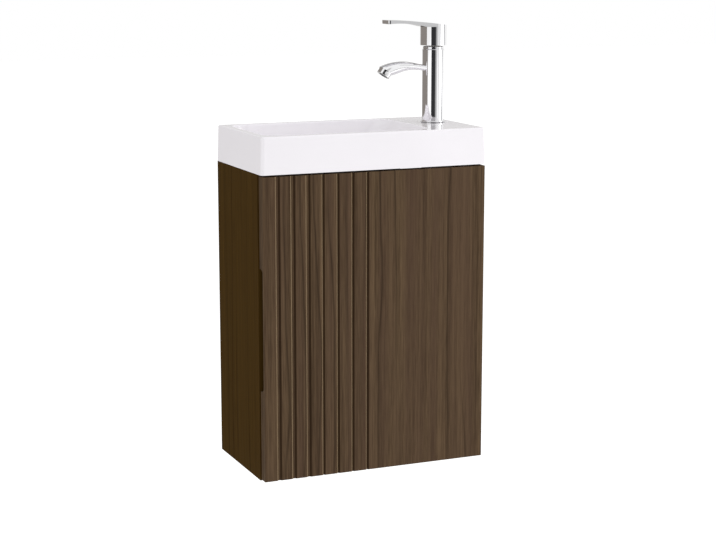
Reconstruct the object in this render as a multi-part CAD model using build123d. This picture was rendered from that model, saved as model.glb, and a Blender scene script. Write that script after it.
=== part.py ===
from build123d import *
import math
import os

os.makedirs("parts", exist_ok=True)

# Wall-hung cloakroom vanity unit with a one-piece ceramic basin, a mixer tap and a push-button waste.
# Millimetres. X runs along the wall, Y into the wall, Z up. The origin is on the wall plane, in the
# middle of the four screw holes of the two wall plates.

# Cabinet boards
cabinet_width = 400.0
cabinet_height = 510.0
carcass_depth = 200.0
board = 16.0
wall_plate_drop = 85.0        # from the cabinet's top edge down to the middle of the wall plates
rail_recess = 18.0            # room behind the hanging rail for the wall plates
hanging_rail_height = 80.0
rail_bowl_gap = 3.0           # between the bowl's underside and the rails below it
lower_rail_height = 80.0
stretcher_nut_gap = 10.0      # between the front stretcher and the waste's backnut
shelf_drop = 284.0
shelf_depth = 130.0
shelf_setback = 10.0
shelf_side_gap = 1.0

# Door
door_thickness = 18.0
door_gap = 2.0                # between the carcass front and the door's back
door_side_inset = 1.5
door_top_gap = 3.0
door_bottom_gap = 2.0
door_edge_radius = 0.8
groove_first = 25.3           # from the door's left edge
groove_pitch = 26.2
groove_count = 7
wide_groove_count = 3
wide_groove_width = 8.6
wide_groove_floor = 3.4
wide_groove_depth = 3.0
narrow_groove_width = 5.6
narrow_groove_floor = 0.8
narrow_groove_depth = 2.8
pull_length = 204.0
pull_reach = 14.0
pull_lip = 4.5
pull_corner = 8.0
bumper_radius = 4.0
bumper_gap = 0.2
bumper_inset = 30.0

# Basin
basin_side_overhang = 1.0     # past the cabinet's side panels
basin_front_overhang = 1.0    # past the door's front
basin_height = 61.0
basin_draft = 2.0
basin_corner = 5.0
basin_edge_radius = 3.0
skirt_wall = 10.0
deck_thickness = 10.0
rim = 14.0
deck_width = 93.0             # the flat deck on the right of the bowl
bowl_depth = 88.0
bowl_wall = 8.0
bowl_floor = 10.0
bowl_corner = 28.0
bowl_lip_radius = 3.0
bowl_floor_radius = 14.0
bowl_side_slope = 25.0
bowl_front_slope = 22.0
bowl_back_slope = 24.0
bowl_right_slope = 74.0
bead_leg = 4.0
bead_end_gap = 30.0

# Waste
waste_right_offset = 8.0      # from the middle of the bowl's floor
waste_back_offset = 0.5
waste_hole_radius = 22.5
waste_recess_radius = 33.5
waste_recess_depth = 3.5
flange_radius = 33.0
flange_thickness = 3.0
flange_edge_radius = 1.2
flange_seal_thickness = 1.0
waste_thread_radius = 20.955
waste_bore_radius = 18.0
waste_tail_length = 72.0
relief_gap = 1.0
relief_depth = 0.6
relief_width = 2.0
lower_seal_thickness = 4.0
lower_seal_radius = 29.0
backnut_thickness = 9.0
backnut_radius = 30.0
backnut_notches = 6
backnut_notch_radius = 4.0
spider_thickness = 5.0
spider_drop = 30.0
spider_arm = 4.0
spider_ring = 2.0
guide_radius = 8.0
guide_rise = 8.0              # above the cross
guide_floor = 2.0
guide_length = 34.0
stem_radius = 4.0
plug_radius = 30.5
plug_edge = 2.2
plug_crown = 3.6
plug_seal_thickness = 2.0
plug_seal_outer = 27.0
plug_seal_inner = 22.5
seat_gap = 0.2
running_gap = 0.05

# Tap
tap_from_right = 42.5         # from the basin's right side
tap_back_offset = 12.5        # behind the middle of the basin
tap_hole_radius = 17.5
tap_radius = 18.5
tap_foot_radius = 20.5
tap_foot_height = 2.5
tap_foot_chamfer = 0.8
tap_shoulder = 2.5
base_seal_thickness = 0.8
base_seal_inset = 0.6
inlet_x = 5.5
inlet_y = 7.2
inlet_radius = 4.5
inlet_depth = 14.0
waterway_radius = 1.9
port_x = 7.45                 # where the two waterways meet the cartridge
port_y = 5.7
stud_y = -9.5
stud_radius = 4.0
stud_hold = 12.0
stud_length = 44.0
clamp_radius = 23.0
clamp_slot_half_width = 13.0
clamp_slot_front = -2.5
clamp_rubber_thickness = 3.0
clamp_washer_thickness = 2.5
fixing_nut_across = 13.0
fixing_nut_thickness = 6.5
seat_height = 98.0            # of the cartridge, above the deck
column_rim = 2.0              # above the cartridge's shoulder
cartridge_radius = 12.4
cartridge_length = 26.0       # from its seat to its shoulder
cartridge_neck_radius = 10.5
cartridge_neck_length = 12.0
carrier_radius = 8.6
carrier_rise = 8.0            # above the seat
carrier_web = 6.0
carrier_slot = 7.6
carrier_inset = 0.5
nut_radius = 14.4
nut_thickness = 6.0
lever_pivot_rise = 7.0        # above the shoulder
lever_pin_radius = 1.5
lever_pin_inset = 1.2
stem_size = 7.2
stem_foot_drop = 13.0
stem_foot_half = 2.5
stem_rise = 21.0              # above the lever's pivot
base_ring_height = 1.0
base_ring_wall = 0.9
disc_thickness = 3.0
port_circle = 4.5
port_radius = 1.6
ring_radius = 17.5
ring_height = 4.0
ring_edge_radius = 1.5
outlet_x = -88.8
outlet_drop_angle = 55.0      # the outlet looks this far below the horizontal
outlet_drop = 4.2             # below the spout's root
outlet_radius = 13.4
spout_root_drop = 4.2         # below the cartridge's seat
spout_bend_x = -44.0
spout_bend_rise = 3.4         # above the spout's root
spout_bore_radius = 3.5
spout_bore_bend = 30.0

# Lever, with heights above the hub's bottom
hub_radius = 22.2
hub_wall = 2.4
hub_gap = 2.0                 # above the bright ring
hub_ceiling = 25.0
lever_reach = 90.5
lever_tip_width = 29.0
lever_heel_top = 33.5
lever_mid_top = 41.0
lever_tip_top = 43.2
lever_tip_bottom = 37.0
lever_mid_bottom = 36.8
lever_root_bottom = 31.5
lever_mid_x = 42.5
lever_corner = 5.0
lever_tip_lean = 1.5
lever_root_inset = 2.0
lever_arch_x = 8.0
boss_size = 13.0
boss_bottom = 9.0
grub_radius = 2.5
grub_socket_radius = 1.2
grub_height = 15.0

# Aerator
aerator_radius = 12.0
aerator_bore = 9.6
aerator_length = 8.5
aerator_socket = 6.0
aerator_flat = 11.4
aerator_washer_thickness = 0.5
aerator_washer_width = 4.0
aerator_wall = 1.6
aerator_flat_length = 5.5
aerator_flat_start = 1.5
insert_inset = 1.0
insert_length = 9.0
insert_hole_radius = 1.1
insert_hole_count = 8
insert_hole_depth = 6.0

# Hinges
hinge_offset = 95.0           # from the door's top and bottom ends to a hinge
cup_radius = 17.5
cup_depth = 11.5
cup_wall = 1.0
cup_edge_distance = 22.0
cup_flange_thickness = 1.0
cup_flange_half_width = 13.0
cup_flange_half_height = 30.0
cup_flange_corner = 6.0
cup_screw_offset = 9.5
cup_screw_half_pitch = 22.5
cup_screw_radius = 1.75
cup_screw_length = 13.0
cup_screw_head = 3.4
cup_screw_head_height = 0.6
cup_lug = 2.5
link_pivot_from_side = 22.5   # from the side panel's inner face
link_pivot_setback = 7.5      # behind the carcass front
door_pivot_from_edge = 14.5   # from the door's right edge
door_pivot_sink = 1.0         # in front of the door's back
link_bulge = 8.1
link_thickness = 2.6
link_half_height = 6.0
link_eye_radius = 2.7
hinge_pin_radius = 1.4
link_side_gap = 0.5
arm_wall = 1.5
arm_reach = 72.0              # from the carcass front to the arm's back end
arm_nose_reach = 3.0
arm_screw_setback = 10.0
base_plate_thickness = 2.5
base_plate_half_height = 26.0
base_plate_half_length = 12.0
base_plate_setback = 37.0
base_plate_corner = 5.0
base_rail_height = 8.0        # from the side panel's inner face
base_screw_half_pitch = 16.0
base_screw_radius = 2.5
base_screw_length = 11.0
base_screw_head = 4.4
base_screw_head_height = 2.0
arm_screw_radius = 2.5
arm_screw_head = 4.5
arm_screw_head_height = 2.0

# Wall hangers
plate_inset = 8.0             # from a hook's middle to its wall plate's middle
plate_screw_half_pitch = 16.0
plate_screw_radius = 3.0
plate_width = 34.0
plate_half_height = 24.0
plate_thickness = 2.0
plate_lip_reach = 8.0
plate_lip_height = 8.0
hook_width = 12.0
hook_thickness = 3.0
hook_tip_gap = 1.0
hook_reach = 16.0
housing_width = 22.0
housing_depth = 24.0
housing_height = 52.0
housing_above_hook = 4.0
housing_slot_gap = 0.3
housing_corner = 3.0
hanger_screw_radius = 2.0
hanger_screw_head = 3.6
hanger_screw_length = 12.0
hanger_screw_pitch = 18.0
hanger_screw_y = 12.0
adjuster_radius = 3.0
adjuster_head = 4.0
adjuster_head_height = 2.5

# Board joints
joint_inset = 50.0
dowel_offset = 32.0
stretcher_bolt_setback = 14.0
stretcher_dowel_setback = 13.0
rail_bolt_rise = 18.0
rail_dowel_rise = 42.0
lower_bolt_rise = 50.0
lower_dowel_rise = 24.0
dowel_radius = 4.0
dowel_chamfer = 0.8
dowel_in_side = 10.0
dowel_in_board = 20.0
hole_end_gap = 0.4
cam_radius = 7.4
cam_depth = 12.0
cam_distance = 34.0
cam_gap = 0.1
bolt_stub_radius = 2.5
bolt_stub_length = 10.0
bolt_shank_radius = 3.0
bolt_head_radius = 3.4
bolt_head_length = 4.0
bolt_bore_radius = 4.0
bolt_head_gap = 0.2
shelf_pin_radius = 2.5
shelf_pin_depth = 8.0
shelf_pin_head = 5.0
shelf_pin_reach = 8.0
shelf_pin_inset = 25.0
shelf_hole_pitch = 32.0

# Screw heads
recess_width = 1.2
recess_depth = 1.2
small_recess = 4.0
large_recess = 5.0

# Places worked out from the sizes above
top_z = wall_plate_drop
bottom_z = top_z - cabinet_height
half_width = cabinet_width / 2
inner_x = half_width - board
floor_z = bottom_z + board
front_y = -carcass_depth
door_back_y = front_y - door_gap
door_front_y = door_back_y - door_thickness
door_half = half_width - door_side_inset
door_top_z = top_z - door_top_gap
door_bottom_z = bottom_z + door_bottom_gap
rail_back_y = -rail_recess
rail_front_y = rail_back_y - board
shelf_top_z = top_z - shelf_drop
shelf_front_y = front_y + shelf_setback
basin_width = cabinet_width + 2 * basin_side_overhang
basin_depth = carcass_depth + door_gap + door_thickness + basin_front_overhang
basin_top_z = top_z + basin_height
bowl_left = -basin_width / 2 + basin_draft + rim
bowl_right = basin_width / 2 - deck_width
bowl_front_y = -basin_depth + basin_draft + rim
bowl_floor_z = basin_top_z - bowl_depth
under_bowl_z = bowl_floor_z - bowl_floor
rail_top_z = under_bowl_z - rail_bowl_gap
rail_bottom_z = rail_top_z - hanging_rail_height
stretcher_top_z = under_bowl_z - rail_bowl_gap
deck_z = basin_top_z
tap_x = basin_width / 2 - tap_from_right
tap_y = -basin_depth / 2 + tap_back_offset
cartridge_shoulder = seat_height + cartridge_length
cartridge_neck_top = cartridge_shoulder + cartridge_neck_length
carrier_floor = seat_height + carrier_rise
lever_pivot_height = cartridge_shoulder + lever_pivot_rise
stem_top = lever_pivot_height + stem_rise
tap_height = cartridge_shoulder + column_rim
hub_bottom = tap_height + ring_height + hub_gap
spout_root_height = seat_height - spout_root_drop
spout_bend_height = spout_root_height + spout_bend_rise
outlet_height = spout_root_height - outlet_drop
# Each section of the spout: X from the tap's axis, height, half height, half width, degrees of drop
spout_sections = [
    (-8.0, spout_root_height, 5.2, 9.5, 0.0),
    (-25.0, spout_root_height + 1.0, 5.4, 9.6, 0.0),
    (spout_bend_x, spout_bend_height, 7.0, 10.2, 0.0),
    (-61.0, spout_root_height + 2.6, 9.2, 11.2, 11.0),
    (-76.4, spout_root_height - 0.4, 11.6, 12.4, 35.0),
    (outlet_x, outlet_height, outlet_radius, outlet_radius, outlet_drop_angle),
]
bowl_floor_x = (bowl_left + bowl_side_slope + bowl_right - bowl_right_slope) / 2
bowl_floor_y = (bowl_front_y + bowl_front_slope - rim - bowl_back_slope) / 2
waste_x = bowl_floor_x + waste_right_offset
waste_y = bowl_floor_y + waste_back_offset
stretcher_back_y = waste_y - backnut_radius - stretcher_nut_gap
link_pivot_x = inner_x - link_pivot_from_side
link_pivot_y = front_y + link_pivot_setback
door_pivot_x = door_half - door_pivot_from_edge
door_pivot_y = door_back_y - door_pivot_sink
arm_back = front_y + arm_reach
base_rail_top = inner_x - base_rail_height
hook_x = inner_x - housing_width / 2
plate_offset = hook_x - plate_inset
cup_x = door_half - cup_edge_distance
hinge_heights = [door_top_z - hinge_offset, door_bottom_z + hinge_offset]
flange_seat_z = bowl_floor_z - waste_recess_depth
flange_bottom_z = flange_seat_z + flange_seal_thickness
flange_top_z = flange_bottom_z + flange_thickness
nut_top_z = under_bowl_z - lower_seal_thickness
nut_bottom_z = nut_top_z - backnut_thickness
plug_bottom_z = flange_top_z + seat_gap + plug_seal_thickness
guide_top_z = flange_top_z - spider_drop + guide_rise
guide_low_z = guide_top_z - guide_length
arm_web_x = link_pivot_x - link_eye_radius - arm_wall
arm_screw_y = arm_back - arm_screw_setback
hook_z = plate_half_height + plate_lip_height
housing_top_z = hook_z + hook_thickness + housing_above_hook
housing_bottom_z = housing_top_z - housing_height


def block(low, high):
    """A box from its lowest to its highest corner."""
    size = [b - a for a, b in zip(low, high)]
    middle = [(a + b) / 2 for a, b in zip(low, high)]
    return Pos(*middle) * Box(*size)


def rod(start, direction, length, radius):
    """A round bar from a start point along a direction."""
    return extrude(Plane(origin=start, z_dir=direction) * Circle(radius), length)


def tube(start, direction, length, outer, inner):
    """A round tube from a start point along a direction."""
    ring = Circle(outer) - Circle(inner)
    return extrude(Plane(origin=start, z_dir=direction) * ring, length)


def upright(points, low, high):
    """A prism with a closed outline of X and Y points, standing from low to high."""
    return extrude(Pos(0, 0, low) * make_face(Polyline(*points, close=True)), high - low)


def cross_recess(face, direction, size):
    """The crossed slots that a driver fits, cut into a head whose face looks along the direction."""
    cross = Rectangle(size, recess_width) + Rectangle(recess_width, size)
    return extrude(Plane(origin=face, z_dir=direction) * cross, -recess_depth)


def span(centre, reach):
    """The lowest and the highest of a middle and its reach either way."""
    return centre - reach, centre + reach


def group(pieces):
    """Separate solids kept together as one node."""
    return Compound(children=[solid for piece in pieces for solid in piece.solids()])


def write(name, shape):
    shape.label = name
    export_step(shape, f"parts/{name}.step")


# Board joints: each entry is the end of a board against a side panel

def board_ends():
    """Every board end that is joined to a side panel: side, height, Y of bolt, Y of dowel, cam direction."""
    ends = []
    for side in (-1, 1):
        low_z = bottom_z + board / 2
        front = front_y + joint_inset
        ends.append((side, low_z, front, front + dowel_offset, (0, 0, -1)))
        ends.append((side, low_z, -joint_inset, -joint_inset - dowel_offset, (0, 0, -1)))
        bolt_y = stretcher_back_y - stretcher_bolt_setback
        dowel_y = front_y + stretcher_dowel_setback
        ends.append((side, stretcher_top_z - board / 2, bolt_y, dowel_y, (0, 0, 1)))
    return ends


def rail_ends():
    """Rail ends: side, Y of the rail's middle, height of the bolt and height of the dowel."""
    ends = []
    for side in (-1, 1):
        middle_y = rail_back_y - board / 2
        ends.append((side, middle_y, rail_bottom_z + rail_bolt_rise, rail_bottom_z + rail_dowel_rise))
        ends.append((side, middle_y, floor_z + lower_bolt_rise, floor_z + lower_dowel_rise))
    return ends


def joint_places():
    """Places and cam directions of all bolts, and places of all dowels, on the side panels' inner faces."""
    bolts, dowels = [], []
    for side, height, bolt_y, dowel_y, cam_way in board_ends():
        bolts.append((side, bolt_y, height, cam_way))
        dowels.append((side, dowel_y, height))
    for side, middle_y, bolt_z, dowel_z in rail_ends():
        bolts.append((side, middle_y, bolt_z, (0, -1, 0)))
        dowels.append((side, middle_y, dowel_z))
    return bolts, dowels


def cam_centre(side, y, z):
    return (side * (inner_x - cam_distance), y, z)


def joint_cuts_in_boards():
    """Everything that the joints take out of the boards between the side panels."""
    bolts, dowels = joint_places()
    cuts = []
    for side, y, z, way in bolts:
        face = (side * inner_x, y, z)
        cuts.append(rod(face, (-side, 0, 0), cam_distance, bolt_bore_radius))
        centre = cam_centre(side, y, z)
        mouth = [c + w * board / 2 for c, w in zip(centre, way)]
        back = [-w for w in way]
        cuts.append(rod(mouth, back, cam_depth + cam_gap, cam_radius + cam_gap))
    for side, y, z in dowels:
        cuts.append(rod((side * inner_x, y, z), (-side, 0, 0), dowel_in_board + hole_end_gap, dowel_radius))
    return cuts


def cut_all(shape, cuts):
    """The shape without those cuts that reach its box."""
    box = shape.bounding_box()
    for cut in cuts:
        other = cut.bounding_box()
        above = any(low >= high for low, high in zip(other.min, box.max))
        below = any(high <= low for high, low in zip(other.max, box.min))
        if not above and not below:
            shape = shape - cut
    return shape


def side_panel(side):
    """An upright side with its holes for dowels, bolts, shelf pins, hinge plates and hangers."""
    panel = block((min(side * inner_x, side * half_width), front_y, bottom_z),
                  (max(side * inner_x, side * half_width), 0, top_z))
    bolts, dowels = joint_places()
    holes = [(y, z, bolt_stub_length, bolt_stub_radius) for at, y, z, way in bolts if at == side]
    holes += [(y, z, dowel_in_side, dowel_radius) for at, y, z in dowels if at == side]
    for y in shelf_pin_rows():
        for step in (-1, 0, 1):
            holes.append((y, shelf_pin_z() + step * shelf_hole_pitch, shelf_pin_depth, shelf_pin_radius))
    holes += [(y, z, hanger_screw_length, hanger_screw_radius) for y, z in hanger_screw_places()]
    if side > 0:
        holes += [(base_plate_y(), z, base_screw_length, base_screw_radius) for z in base_screw_heights()]
    for y, z, depth, radius in holes:
        panel = panel - rod((side * inner_x, y, z), (side, 0, 0), depth + hole_end_gap, radius)
    return panel


def bottom_panel():
    return cut_all(block((-inner_x, front_y, bottom_z), (inner_x, 0, floor_z)), joint_cuts_in_boards())


def front_stretcher():
    low = (-inner_x, front_y, stretcher_top_z - board)
    high = (inner_x, stretcher_back_y, stretcher_top_z)
    return cut_all(block(low, high), joint_cuts_in_boards())


def hanging_rail():
    """The rail that the hangers' hooks pass through, set in from the wall."""
    rail = block((-inner_x, rail_front_y, rail_bottom_z), (inner_x, rail_back_y, rail_top_z))
    margin = 2.0
    for side in (-1, 1):
        x = side * hook_x
        low = (x - hook_width / 2 - margin, rail_front_y, hook_z - margin)
        high = (x + hook_width / 2 + margin, rail_back_y, hook_z + hook_thickness + margin)
        rail = rail - block(low, high)
    return cut_all(rail, joint_cuts_in_boards())


def lower_back_rail():
    rail = block((-inner_x, rail_front_y, floor_z), (inner_x, rail_back_y, floor_z + lower_rail_height))
    return cut_all(rail, joint_cuts_in_boards())


def dowels():
    pieces = []
    for side, y, z in joint_places()[1]:
        start = (side * (inner_x + dowel_in_side), y, z)
        pin = rod(start, (-side, 0, 0), dowel_in_side + dowel_in_board, dowel_radius)
        pieces.append(chamfer(pin.edges().filter_by(GeomType.CIRCLE), dowel_chamfer))
    return group(pieces)


def cam_bolts():
    """Bolts screwed into the side panels, with a collar-free shank and a round head in the cam."""
    pieces = []
    for side, y, z, way in joint_places()[0]:
        stub = rod((side * inner_x, y, z), (side, 0, 0), bolt_stub_length, bolt_stub_radius)
        shank = rod((side * inner_x, y, z), (-side, 0, 0), cam_distance + 1, bolt_shank_radius)
        head_start = (side * (inner_x - cam_distance + bolt_head_length / 2), y, z)
        head = rod(head_start, (-side, 0, 0), bolt_head_length, bolt_head_radius)
        pieces.append(stub + shank + head)
    return group(pieces)


def cam_discs():
    """Locking discs with a slot that takes the bolt's head and a cross recess for the driver."""
    pieces = []
    slot_half = bolt_head_radius + bolt_head_gap
    for side, y, z, way in joint_places()[0]:
        centre = cam_centre(side, y, z)
        mouth = [c + w * board / 2 for c, w in zip(centre, way)]
        disc = rod(mouth, [-w for w in way], cam_depth, cam_radius)
        reach = side * (cam_radius + 1)
        ends = sorted((centre[0] - side * (bolt_head_length / 2 + bolt_head_gap), centre[0] + reach))
        low = (ends[0], y - slot_half, z - slot_half)
        high = (ends[1], y + slot_half, z + slot_half)
        pieces.append(disc - block(low, high) - cross_recess(mouth, way, large_recess))
    return group(pieces)


# Shelf

def shelf_pin_rows():
    return [shelf_front_y + shelf_pin_inset, shelf_front_y + shelf_depth - shelf_pin_inset]


def shelf_pin_z():
    """Height of the pins' axes: the shelf rests on the flat tops of their heads."""
    return shelf_top_z - board - shelf_pin_head


def shelf():
    low = (-inner_x + shelf_side_gap, shelf_front_y, shelf_top_z - board)
    high = (inner_x - shelf_side_gap, shelf_front_y + shelf_depth, shelf_top_z)
    return block(low, high)


def shelf_pins():
    pieces = []
    for side in (-1, 1):
        for y in shelf_pin_rows():
            z = shelf_pin_z()
            pin = rod((side * inner_x, y, z), (side, 0, 0), shelf_pin_depth, shelf_pin_radius)
            xs = sorted((side * inner_x, side * (inner_x - shelf_pin_reach)))
            low = (xs[0], y - shelf_pin_head, z - shelf_pin_radius)
            spoon = block(low, (xs[1], y + shelf_pin_head, z + shelf_pin_head))
            pieces.append(pin + spoon)
    return group(pieces)


# Wall hangers

def wall_plates():
    """Steel plates screwed to the wall, each with a ledge and an upturned lip for a hook."""
    pieces = []
    for side in (-1, 1):
        x = side * plate_offset
        left, right = x - plate_width / 2, x + plate_width / 2
        lip_front = -plate_lip_reach - plate_thickness
        ledge_z = plate_half_height - plate_thickness
        back = block((left, -plate_thickness, -plate_half_height), (right, 0, plate_half_height))
        ledge = block((left, lip_front, ledge_z), (right, 0, plate_half_height))
        lip = block((left, lip_front, ledge_z), (right, -plate_lip_reach, hook_z))
        plate = back + ledge + lip
        for z in (-plate_screw_half_pitch, plate_screw_half_pitch):
            plate = plate - rod((x, 0, z), (0, -1, 0), plate_thickness, plate_screw_radius)
        pieces.append(plate)
    return group(pieces)


def hanger_hooks():
    """Flat steel hooks that rest on the wall plates' lips, with their tips behind the lips."""
    pieces = []
    for side in (-1, 1):
        left, right = side * hook_x - hook_width / 2, side * hook_x + hook_width / 2
        tip_front = -plate_lip_reach + hook_tip_gap
        tip_back = tip_front + hook_thickness
        bar = block((left, rail_front_y - hook_reach, hook_z), (right, tip_back, hook_z + hook_thickness))
        tip = block((left, tip_front, plate_half_height + hook_tip_gap), (right, tip_back, hook_z))
        pieces.append(bar + tip)
    return group(pieces)


def hanger_screw_places():
    """Y and Z of the screws that hold a hanger housing to a side panel."""
    first = housing_bottom_z + (housing_height - 2 * hanger_screw_pitch) / 2
    return [(rail_front_y - hanger_screw_y, first + step * hanger_screw_pitch) for step in (0, 1)]


def adjuster_start(side):
    return (side * hook_x, rail_front_y - housing_depth, hook_z + hook_thickness / 2)


def hanger_housings():
    """Housings in the top back corners, bored for their screws and open at the back for the hook."""
    pieces = []
    for side in (-1, 1):
        xs = sorted((side * inner_x, side * (inner_x - housing_width)))
        front = rail_front_y - housing_depth
        body = block((xs[0], front, housing_bottom_z), (xs[1], rail_front_y, housing_top_z))
        body = fillet(body.edges().filter_by(Axis.X), housing_corner)
        left, right = span(side * hook_x, hook_width / 2 + housing_slot_gap)
        slot = block((left, rail_front_y - hook_reach - housing_slot_gap, hook_z - housing_slot_gap),
                     (right, rail_front_y, hook_z + hook_thickness + housing_slot_gap))
        body = body - slot
        body = body - rod(adjuster_start(side), (0, 1, 0), housing_depth - hook_reach, adjuster_radius)
        for y, z in hanger_screw_places():
            body = body - rod((side * inner_x, y, z), (-side, 0, 0), housing_width, hanger_screw_radius)
            mouth = (side * (inner_x - housing_width), y, z)
            body = body - rod(mouth, (side, 0, 0), hanger_screw_head, hanger_screw_head)
        pieces.append(body)
    return group(pieces)


def hanger_fixing_screws():
    pieces = []
    for side in (-1, 1):
        for y, z in hanger_screw_places():
            mouth = (side * (inner_x - housing_width), y, z)
            head = rod(mouth, (side, 0, 0), hanger_screw_head, hanger_screw_head)
            shank = rod(mouth, (side, 0, 0), housing_width + hanger_screw_length, hanger_screw_radius)
            pieces.append(head + shank - cross_recess(mouth, (-side, 0, 0), small_recess))
    return group(pieces)


def hanger_adjusters():
    """Screws in the housings' fronts that push against the hooks."""
    pieces = []
    for side in (-1, 1):
        start = adjuster_start(side)
        shank = rod(start, (0, 1, 0), housing_depth - hook_reach, adjuster_radius)
        head = rod(start, (0, -1, 0), adjuster_head_height, adjuster_head)
        face = (start[0], start[1] - adjuster_head_height, start[2])
        pieces.append(head + shank - cross_recess(face, (0, -1, 0), large_recess))
    return group(pieces)


# Door

def groove(centre_x, width, floor, depth):
    """A groove over the door's whole height, wider at its mouth than at its floor."""
    points = [(centre_x - width / 2, door_front_y), (centre_x - floor / 2, door_front_y + depth),
              (centre_x + floor / 2, door_front_y + depth), (centre_x + width / 2, door_front_y)]
    return upright(points, door_bottom_z, door_top_z)


def finger_pull():
    """The hollow in the back of the door's left edge, closed at the front by a thin lip."""
    floor_y = door_front_y + pull_lip
    inner = -door_half + pull_reach
    middle_z = (door_top_z + door_bottom_z) / 2
    low_z, high_z = span(middle_z, pull_length / 2)
    hollow = block((-door_half, floor_y, low_z), (inner, door_back_y, high_z))
    deep = hollow.edges().filter_by(Axis.Z).sort_by(Axis.X)[-2:].sort_by(Axis.Y)[0]
    hollow = fillet(deep, pull_corner)
    ends = hollow.edges().filter_by(Axis.Y).sort_by(Axis.X)[-2:]
    return fillet(ends, pull_corner)


def cup_screw_places():
    """X and Z of the screws that hold the hinge cups to the door."""
    x = cup_x - cup_screw_offset
    return [(x, z + way * cup_screw_half_pitch) for z in hinge_heights for way in (-1, 1)]


def door_panel():
    panel = block((-door_half, door_front_y, door_bottom_z), (door_half, door_back_y, door_top_z))
    front = panel.edges().group_by(Axis.Y)[0]
    panel = fillet(front, door_edge_radius)
    for step in range(groove_count):
        x = -door_half + groove_first + step * groove_pitch
        if step < wide_groove_count:
            panel = panel - groove(x, wide_groove_width, wide_groove_floor, wide_groove_depth)
        else:
            panel = panel - groove(x, narrow_groove_width, narrow_groove_floor, narrow_groove_depth)
    panel = panel - finger_pull()
    for z in hinge_heights:
        panel = panel - rod((cup_x, door_back_y, z), (0, -1, 0), cup_depth, cup_radius)
    for x, z in cup_screw_places():
        panel = panel - rod((x, door_back_y, z), (0, -1, 0), cup_screw_length, cup_screw_radius)
    return panel


def door_bumpers():
    """Rubber dots that meet the left side panel's front edge."""
    pieces = []
    x = -(half_width - board / 2)
    for z in (door_bottom_z + bumper_inset, door_top_z - bumper_inset):
        pieces.append(rod((x, door_back_y, z), (0, 1, 0), door_gap - bumper_gap, bumper_radius))
    return group(pieces)


# Hinges: the arms stay on the right side panel, the links swing on them, the cups are let into the door

def link_strip():
    """The link's bowed strip seen from above: part of a ring, cut off at the line between its pivots."""
    start = Vector(link_pivot_x, link_pivot_y)
    end = Vector(door_pivot_x, door_pivot_y)
    chord = (end - start).length
    along = (end - start).normalized()
    out = Vector(along.Y, -along.X)
    radius = (chord ** 2 / 4 + link_bulge ** 2) / (2 * link_bulge)
    centre = (start + end) * 0.5 + out * (link_bulge - radius)
    ring = Circle(radius + link_thickness / 2) - Circle(radius - link_thickness / 2)
    turn = math.degrees(math.atan2(along.Y, along.X))
    keep = (start + end) * 0.5 + out * radius
    side = Pos(keep.X, keep.Y) * Rot(0, 0, turn) * Rectangle(4 * radius, 2 * radius)
    return (Pos(centre.X, centre.Y) * ring) & side


def hinge_links():
    pieces = []
    for z in hinge_heights:
        low = z - link_half_height
        body = extrude(Pos(0, 0, low) * link_strip(), 2 * link_half_height)
        pivots = ((link_pivot_x, link_pivot_y, low), (door_pivot_x, door_pivot_y, low))
        for pivot in pivots:
            body = body + rod(pivot, (0, 0, 1), 2 * link_half_height, link_eye_radius)
        for pivot in pivots:
            body = body - rod(pivot, (0, 0, 1), 2 * link_half_height, hinge_pin_radius + running_gap)
        pieces.append(body)
    return group(pieces)


def arm_half_height():
    return link_half_height + link_side_gap + arm_wall


def hinge_arms():
    """Channels with a cheek above and below the link, riding on the base plates' rails."""
    pieces = []
    half = arm_half_height()
    inside = half - arm_wall
    plate_front = base_plate_y() - base_plate_half_length
    nose_y = link_pivot_y - arm_nose_reach
    web_front = link_pivot_y + link_eye_radius + link_bulge
    for z in hinge_heights:
        outline = [(arm_web_x, arm_back), (base_rail_top, arm_back), (base_rail_top, plate_front),
                   (link_pivot_x + 2 * arm_nose_reach, nose_y), (arm_web_x, nose_y)]
        body = upright(outline, z - half, z + half)
        body = body - block((arm_web_x, nose_y, z - inside), (inner_x, web_front, z + inside))
        body = body - block((arm_web_x + arm_wall, web_front, z - inside), (inner_x, arm_back, z + inside))
        body = body - rod((link_pivot_x, link_pivot_y, z - half), (0, 0, 1), 2 * half, hinge_pin_radius)
        pieces.append(body - rod((arm_web_x, arm_screw_y, z), (1, 0, 0), arm_wall, arm_screw_radius))
    return group(pieces)


def hinge_arm_pins():
    half = arm_half_height()
    return group([rod((link_pivot_x, link_pivot_y, z - half), (0, 0, 1), 2 * half, hinge_pin_radius)
                  for z in hinge_heights])


def hinge_arm_screws():
    """One screw in each arm, from its web down to the base plate's rail."""
    pieces = []
    for z in hinge_heights:
        start = (arm_web_x, arm_screw_y, z)
        head = rod(start, (-1, 0, 0), arm_screw_head_height, arm_screw_head)
        shank = rod(start, (1, 0, 0), base_rail_top - arm_web_x, arm_screw_radius)
        face = (arm_web_x - arm_screw_head_height, arm_screw_y, z)
        pieces.append(head + shank - cross_recess(face, (-1, 0, 0), large_recess))
    return group(pieces)


def base_plate_y():
    return front_y + base_plate_setback


def base_screw_heights():
    return [z + way * base_screw_half_pitch for z in hinge_heights for way in (-1, 1)]


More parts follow.
